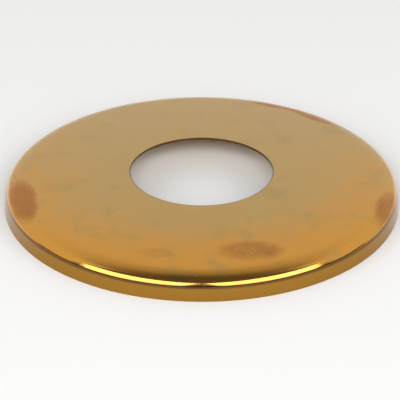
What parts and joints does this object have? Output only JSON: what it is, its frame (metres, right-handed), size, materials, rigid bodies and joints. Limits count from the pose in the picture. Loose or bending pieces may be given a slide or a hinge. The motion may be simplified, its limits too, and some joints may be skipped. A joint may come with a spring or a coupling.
{
  "type": "tap rosette",
  "caption": "Shallow domed round rosette in thin pressed brass, with a plain central pipe hole and a short flared skirt that stands on the wall.",
  "frame": {"origin": "centre of the pipe hole's axis on the wall plane, which is the plane of the skirt's lower edge", "axes": "+Z along the pipe, away from the wall; the rosette is round about Z, so X and Y are free"},
  "size_m": [0.075, 0.075, 0.0065],
  "materials": {
    "aged_brass": "pressed and polished brass sheet with a thin lacquer, satin from age on the dome and glossier round the bend, with orange-brown tarnish towards the rim"
  },
  "bodies": {
    "root": {"rosette": "aged_brass"}
  },
  "joints": []
}
